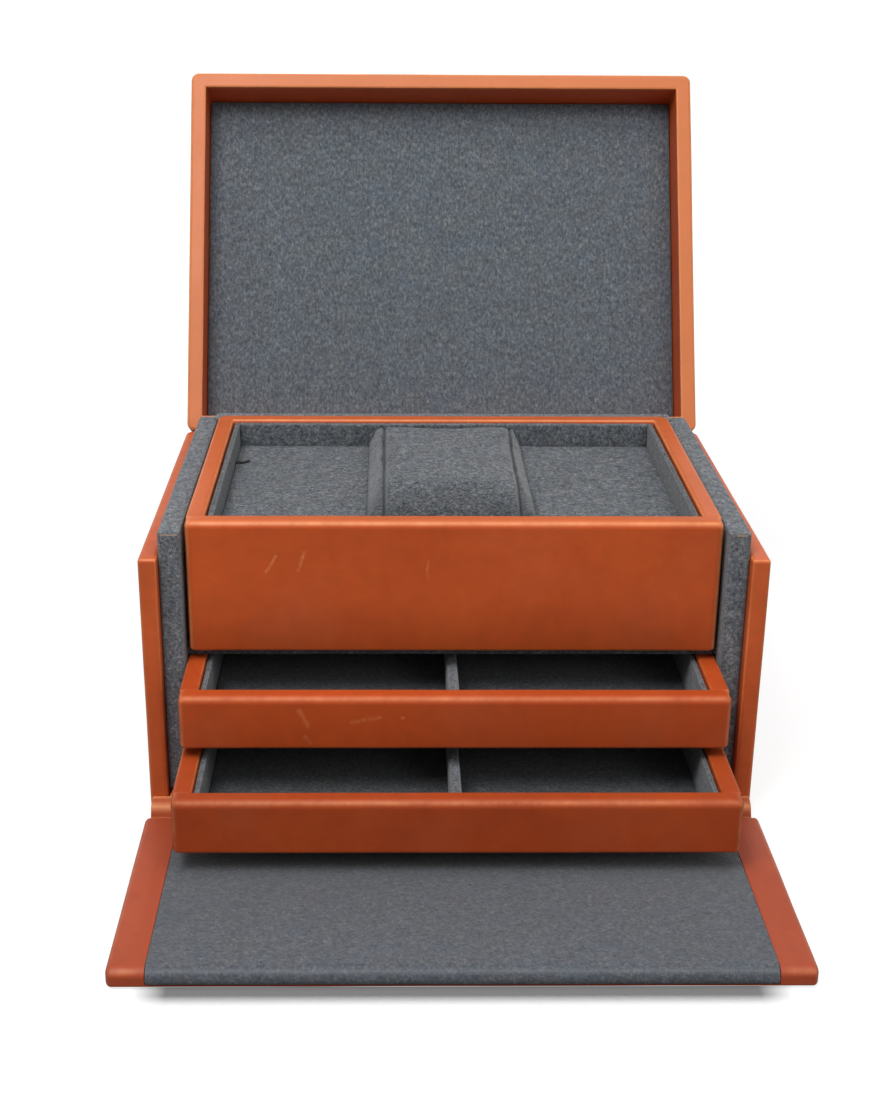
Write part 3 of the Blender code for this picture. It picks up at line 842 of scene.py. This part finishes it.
def padded_mesh(shape, low, high):
    """The shape voxel remeshed and blown up a little as cloth, held inside its box."""
    mesh = bpy.data.meshes.new("pad")
    shape.to_mesh(mesh)
    shape.free()
    pad = bpy.data.objects.new("pad", mesh)
    bpy.context.scene.collection.objects.link(pad)
    remesh = pad.modifiers.new("remesh", "REMESH")
    remesh.mode = "VOXEL"
    remesh.voxel_size = CUSHION_VOXEL
    graph = bpy.context.evaluated_depsgraph_get()
    pad.data = bpy.data.meshes.new_from_object(pad.evaluated_get(graph))
    pad.modifiers.clear()
    rest = [vertex.co.copy() for vertex in pad.data.vertices]
    cloth = pad.modifiers.new("cloth", "CLOTH")
    cloth.settings.use_pressure = True
    cloth.settings.uniform_pressure_force = CUSHION_PRESSURE
    cloth.settings.effector_weights.gravity = 0.0
    for step in range(1, CLOTH_FRAMES + 1):
        bpy.context.scene.frame_set(step)
    graph = bpy.context.evaluated_depsgraph_get()
    blown = bpy.data.meshes.new_from_object(pad.evaluated_get(graph))
    pad.modifiers.clear()
    for vertex, start in zip(blown.vertices, rest):
        move = vertex.co - start
        if move.length > CUSHION_CAP:
            move *= CUSHION_CAP / move.length
        vertex.co = [min(max(start[a] + move[a], low[a]), high[a]) for a in range(3)]
    pad.data = blown
    bpy.context.scene.frame_set(1)
    finer = pad.modifiers.new("finer", "SUBSURF")
    finer.levels = 1
    graph = bpy.context.evaluated_depsgraph_get()
    smooth = bmesh.new()
    smooth.from_mesh(bpy.data.meshes.new_from_object(pad.evaluated_get(graph)))
    bpy.data.objects.remove(pad)
    return smooth


def sew(shape, place, slant):
    """A sewn seam along the cushion, cut in as a narrow valley: its x place in the middle, and its slant."""
    for row in SEAM_ROWS:
        geometry = shape.verts[:] + shape.edges[:] + shape.faces[:]
        plane = (place + row * SEAM_WIDTH, 0, 0)
        bmesh.ops.bisect_plane(shape, geom=geometry, plane_co=plane, plane_no=(1, -slant, 0))
    shape.normal_update()
    for vertex in shape.verts:
        away = (vertex.co.x - place - slant * vertex.co.y) / SEAM_WIDTH
        if abs(away) < SEAM_TAIL:
            inward = Vector((0, vertex.normal.y, vertex.normal.z))
            vertex.co -= inward * SEAM_DEPTH * math.exp(-away * away)


def seat(shape, low, high):
    """Brings the cushion's two sides out to the decks, so that it fills its well at their height."""
    level = span("tray_left_deck")[1].z + SEAT_HEIGHT
    for vertex in shape.verts:
        side = high.x if vertex.co.x > 0 else low.x
        share = min(max((level + SEAT_BLEND - vertex.co.z) / SEAT_BLEND, 0.0), 1.0)
        if abs(side - vertex.co.x) < SEAT_BLEND:
            vertex.co.x += (side - vertex.co.x) * share


def add_cushion(cloth):
    """The watch cushion: crowned, with a front that rolls down into the well."""
    low, high = span("watch_cushion")
    low.x -= CUSHION_SPREAD
    high.x += CUSHION_SPREAD
    start = Vector((CUSHION_START,) * 3)
    middle = (low.z + high.z) / 2

    def crowned(point):
        if point.z < middle:
            return point
        ahead = max(0.0, (CREST - point.y) / (CREST - low.y))
        behind = max(0.0, (point.y - CREST) / (high.y - CREST))
        rolled = 1 - math.sqrt(1 - FRONT_ROLL * ahead ** 2)
        fall = FRONT_FALL * rolled + BACK_FALL * behind ** 2
        share = (point.z - middle) / (high.z - middle)
        return point - Vector((0, 0, fall * share))

    shape = bent(rounded_box(low + start, high - start, CUSHION_ROUND, CUSHION_STEP), crowned)
    shape = padded_mesh(shape, low, high)
    seat(shape, low, high)
    for place, slant in SEAMS:
        sew(shape, place, slant)
    waver(shape, FELT_WAVER, FELT_WAVE)
    piece = add_piece("watch_cushion_cover", shape, ["watch_cushion"], cloth)
    return piece


def add_camera():
    data = bpy.data.cameras.new("camera")
    data.lens = CAMERA_LENS
    data.sensor_width = CAMERA_SENSOR
    data.sensor_fit = "AUTO"
    data.shift_x = CAMERA_SHIFT
    pitch, yaw = CAMERA_PITCH, CAMERA_YAW
    ahead = Vector((math.sin(yaw) * math.cos(pitch), math.cos(yaw) * math.cos(pitch), -math.sin(pitch)))
    level = Vector((math.cos(yaw), -math.sin(yaw), 0))
    upright = level.cross(ahead)
    right = level * math.cos(CAMERA_ROLL) + upright * math.sin(CAMERA_ROLL)
    up = upright * math.cos(CAMERA_ROLL) - level * math.sin(CAMERA_ROLL)
    camera = bpy.data.objects.new("camera", data)
    turned = Matrix((right, up, -ahead)).transposed().to_4x4()
    camera.matrix_world = Matrix.Translation(CAMERA_PLACE) @ turned
    bpy.context.scene.collection.objects.link(camera)
    bpy.context.scene.camera = camera


def add_softbox(name, place, size, power):
    """A soft lamp that shines on the box."""
    data = bpy.data.lights.new(name, "AREA")
    data.shape = "RECTANGLE"
    data.size, data.size_y = size
    data.energy = power
    lamp = bpy.data.objects.new(name, data)
    lamp.location = place
    lamp.rotation_euler = (Vector(LIT_POINT) - Vector(place)).to_track_quat("-Z", "Y").to_euler()
    bpy.context.scene.collection.objects.link(lamp)


def add_world():
    """White where the camera, a reflection or glass sees it, and a plain fill light on the box."""
    world = bpy.data.worlds.new("studio")
    bpy.context.scene.world = world
    world.use_nodes = True
    tree = world.node_tree
    paths = tree.nodes.new("ShaderNodeLightPath")
    seen = paths.outputs["Is Camera Ray"]
    for ray in ("Is Glossy Ray", "Is Transmission Ray"):
        either = tree.nodes.new("ShaderNodeMath")
        either.operation = "MAXIMUM"
        tree.links.new(seen, either.inputs[0])
        tree.links.new(paths.outputs[ray], either.inputs[1])
        seen = either.outputs["Value"]
    strength = tree.nodes.new("ShaderNodeMapRange")
    tree.links.new(seen, strength.inputs["Value"])
    strength.inputs["To Min"].default_value = WORLD_LIGHT
    strength.inputs["To Max"].default_value = 1.0
    background = tree.nodes["Background"]
    background.inputs["Color"].default_value = rgb(1.0, 1.0, 1.0)
    tree.links.new(strength.outputs["Result"], background.inputs["Strength"])


def add_floor():
    """A pale floor, white to the camera, which keeps the shadows, with a painted shadow as the dark line at the
    flap's end.
    """
    shape = bmesh.new()
    bmesh.ops.create_grid(shape, x_segments=1, y_segments=1, size=FLOOR_HALF)
    mesh = bpy.data.meshes.new("floor")
    shape.to_mesh(mesh)
    shape.free()
    floor = bpy.data.objects.new("floor", mesh)
    bpy.context.scene.collection.objects.link(floor)
    floor.location.z = -FLOOR_DROP
    finish = Finish("floor", 0.9)
    finish.shader.inputs["Specular IOR Level"].default_value = 0.0
    finish.shader.inputs["Emission Color"].default_value = rgb(1.0, 1.0, 1.0)
    flap_low, flap_high = span("drop_front_board")
    place = finish.node("ShaderNodeTexCoord", {}).outputs["Object"]
    axes = finish.node("ShaderNodeSeparateXYZ", {"Vector": place}).outputs
    across = finish.calc("ABSOLUTE", axes["X"])
    start, end = (flap_high.x - inset for inset in CONTACT_ENDS)
    inside = finish.ranged(across, start, end, 1.0, 0.0)
    ahead = finish.calc("LESS_THAN", axes["Y"], flap_low.y + CONTACT_START)
    # Painted shadow: occlusion darkens the floor in a strip before the flap's end
    occlusion = finish.node("ShaderNodeAmbientOcclusion", {"Distance": CONTACT_REACH}, samples=16)
    painted_contact_shadow = finish.ranged(occlusion.outputs["AO"], *CONTACT_RANGE, CONTACT_DARK, 0.0)
    painted_shadow = finish.calc("MULTIPLY", finish.calc("MULTIPLY", inside, ahead), painted_contact_shadow)
    clear = finish.calc("SUBTRACT", 1.0, painted_shadow)
    finish.set("Base Color", finish.grey(finish.calc("MULTIPLY", clear, FLOOR_COLOR)))
    away = finish.vector("LENGTH", place, (0.0, 0.0, 0.0), "Value")
    lift = finish.ranged(away, LIFT_FROM, LIFT_TO, NEAR_LIFT, FAR_LIFT)
    seen = finish.node("ShaderNodeLightPath", {}).outputs["Is Camera Ray"]
    finish.set("Emission Strength", finish.calc("MULTIPLY", seen, finish.calc("MULTIPLY", clear, lift)))
    mesh.materials.append(finish.material)


def add_stage():
    add_world()
    add_floor()
    add_softbox("key", KEY_PLACE, KEY_SIZE, KEY_POWER)
    add_softbox("fill", FILL_PLACE, FILL_SIZE, FILL_POWER)
    add_softbox("overhead", OVERHEAD_PLACE, OVERHEAD_SIZE, OVERHEAD_POWER)


def add_thread(finish):
    """The loose end of black thread that lies on the left deck."""
    _, deck = span("tray_left_deck")
    curve = bpy.data.curves.new("thread_end", "CURVE")
    curve.dimensions = "3D"
    curve.bevel_depth = THREAD_RADIUS
    curve.bevel_resolution = 2
    curve.use_fill_caps = True
    line = curve.splines.new("NURBS")
    line.points.add(len(THREAD) - 1)
    for point, (x, y) in zip(line.points, THREAD):
        point.co = (x, y, deck.z + THREAD_RADIUS, 1.0)
    line.use_endpoint_u = True
    line.order_u = 3
    curve.materials.append(finish)
    piece = bpy.data.objects.new("thread_end", curve)
    bpy.context.scene.collection.objects.link(piece)
    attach(piece, "case")


def make_hides():
    rim = span("lid_left_rail")[0].z
    tray_low, tray_high = span("tray_front")
    middle_low, middle_high = span("middle_drawer_front")
    middle_foot_shade = (middle_low.z, middle_high.z, MIDDLE_FOOT_SHADE)
    tray_rim_highlight, tray_foot_shade = raised(tray_high.z, TRAY_RIM_HIGHLIGHT), raised(tray_low.z, TRAY_FOOT_SHADE)
    return {
        "case": leather("leather", *CASE_HIDE, wear_and_highlight=CASE_WEAR_AND_HIGHLIGHT),
        "lid": leather("lid_leather", rubbed=raised(rim, LID_RIM_HIGHLIGHT)),
        "tray": leather("tray_leather", marks=TRAY_MARKS, rubbed=tray_rim_highlight, wear_and_highlight=TRAY_WEAR_AND_HIGHLIGHT, low=tray_foot_shade),
        "middle_drawer": leather(
            "middle_drawer_leather", *MIDDLE_SHADED_HIDE, MIDDLE_MARKS, DULL_ROUGHNESS,
            wear_and_highlight=DRAWER_WEAR_AND_HIGHLIGHT, low=middle_foot_shade
        ),
        "lower_drawer": leather(
            "lower_drawer_leather", *LOWER_SHADED_HIDE, roughness=DULL_ROUGHNESS,
            wear_and_highlight=DRAWER_WEAR_AND_HIGHLIGHT
        ),
        "hinge": leather("hinge_leather", *HINGE_HIDE, roughness=DULL_ROUGHNESS),
        "flap": leather("flap_leather", *FLAP_HIDE, FLAP_MARKS, wear_and_highlight=FLAP_WEAR_AND_HIGHLIGHT),
    }


def make_felts():
    low, high = span("left_liner")
    # Pale glue lines and dark painted shadow lines on the liners' fronts
    marks = [
        ((start, low.y, high.z - drop), (end, low.y, high.z - drop), *look)
        for start, end, drop, *look in LINER_GLUE_AND_SHADOW_LINES
    ]
    return {
        "board": felt("felt", shade=0.86, contrast=1.15),
        "deck": felt("deck_felt", shade=0.84, contrast=1.5),
        "flap": felt("flap_felt", shade=(0.77, 0.77, 0.80), contrast=0.7, painted_shade_band=FLAP_PAINTED_SHADE),
        "lid": felt("lid_felt", shade=(0.85, 0.89, 0.91), contrast=0.85, along="Y"),
        "liner": felt("liner_felt", shade=1.10, contrast=1.1, along="Y", marks=marks),
        "cushion": felt("cushion_felt", shade=0.86, contrast=1.6, seams=SEAMS, painted_shade_band=CUSHION_PAINTED_SHADE),
        # Darker copies of the felt: painted shade on the tray's side linings, and inside the drawers a darker felt
        # with painted shade
        "side": felt("side_lining_felt", shade=0.70, contrast=1.5),
        "drawer": felt("drawer_dark_and_shaded_felt", shade=0.44, contrast=1.2),
    }


def add_drawer(name, hide, felts):
    add_frame(name, hide)
    for side in ("front", "back", "left", "right"):
        add_felt_board(f"{name}_{side}_lining", felts["board"], DRAWER_LINING_EDGE)
    add_felt_board(f"{name}_floor_felt", felts["drawer"], THIN_EDGE)
    add_felt_board(f"{name}_base", felts["board"], THIN_EDGE)
    add_felt_board(f"{name}_divider", felts["board"], DIVIDER_EDGE)


def add_liners(cloth):
    out, within = LINER_OUT, LINER_IN
    liners = {
        "left": ((-out, 0, 0), (within, 0, 0)),
        "right": ((-within, 0, 0), (out, 0, 0)),
        "back": ((-within, 0, 0), (within, 0, 0)),
    }
    for side, grow in liners.items():
        add_felt_board(f"{side}_liner", cloth, FELT_EDGE, LINER_STEP, grow)


def add_tray_felts(felts):
    """The linings inside the tray, and the decks with the walls of the cushion's well under them."""
    gap, reach = LINING_GAP, DECK_REACH
    linings = {
        "left": ("side", LINING_EDGE, ((gap, 0, 0), (0, 0, 0))),
        "right": ("side", LINING_EDGE, ((0, 0, 0), (-gap, 0, 0))),
        "back": ("board", ACROSS_EDGES, ((-FIT, 0, 0), (FIT, -gap, 0))),
        "front": ("board", ACROSS_EDGES, ((-FIT, gap, 0), (FIT, 0, 0))),
    }
    for side, (cloth, edge, grow) in linings.items():
        add_felt_board(f"tray_{side}_lining", felts[cloth], edge, MESH_STEP, grow)
    decks = {
        "left": ((THIN_EDGE, SEAM_GAP), ((0, 0, 0), (reach, 0, 0))),
        "right": ((SEAM_GAP, THIN_EDGE), ((-reach, 0, 0), (0, 0, 0))),
    }
    for side, (ends, grow) in decks.items():
        add_felt_board(f"tray_{side}_deck", felts["deck"], (ends, THIN_EDGE, THIN_EDGE), MESH_STEP, grow)
        add_felt_board(f"tray_{side}_well_wall", felts["board"], THIN_EDGE)


def main():
    bpy.context.scene.view_settings.view_transform = "Standard"
    add_camera()
    add_stage()

    hides = make_hides()
    felts = make_felts()
    case_walls = ("left_wall", "back_wall", "right_wall")
    add_walls("case_leather", case_walls, hides["case"], CASE_CORNER, WALL_EDGE)
    add_leather_board("bottom_board", hides["case"])
    add_lid_cover(hides["lid"])
    add_drop_front(hides["flap"], felts["flap"])
    add_front_hinge(hides["hinge"])
    add_lid_hinge(hides["hinge"])
    add_frame("tray", hides["tray"])
    for name in ("middle_drawer", "lower_drawer"):
        add_drawer(name, hides[name], felts)
    add_liners(felts["liner"])
    add_tray_felts(felts)
    for node in ("floor_liner", "lower_shelf", "upper_shelf", "tray_base"):
        add_felt_board(node, felts["board"], THIN_EDGE)
    add_felt_board("lid_felt_panel", felts["lid"])
    add_cushion(felts["cushion"])
    add_thread(twisted_thread())


main()
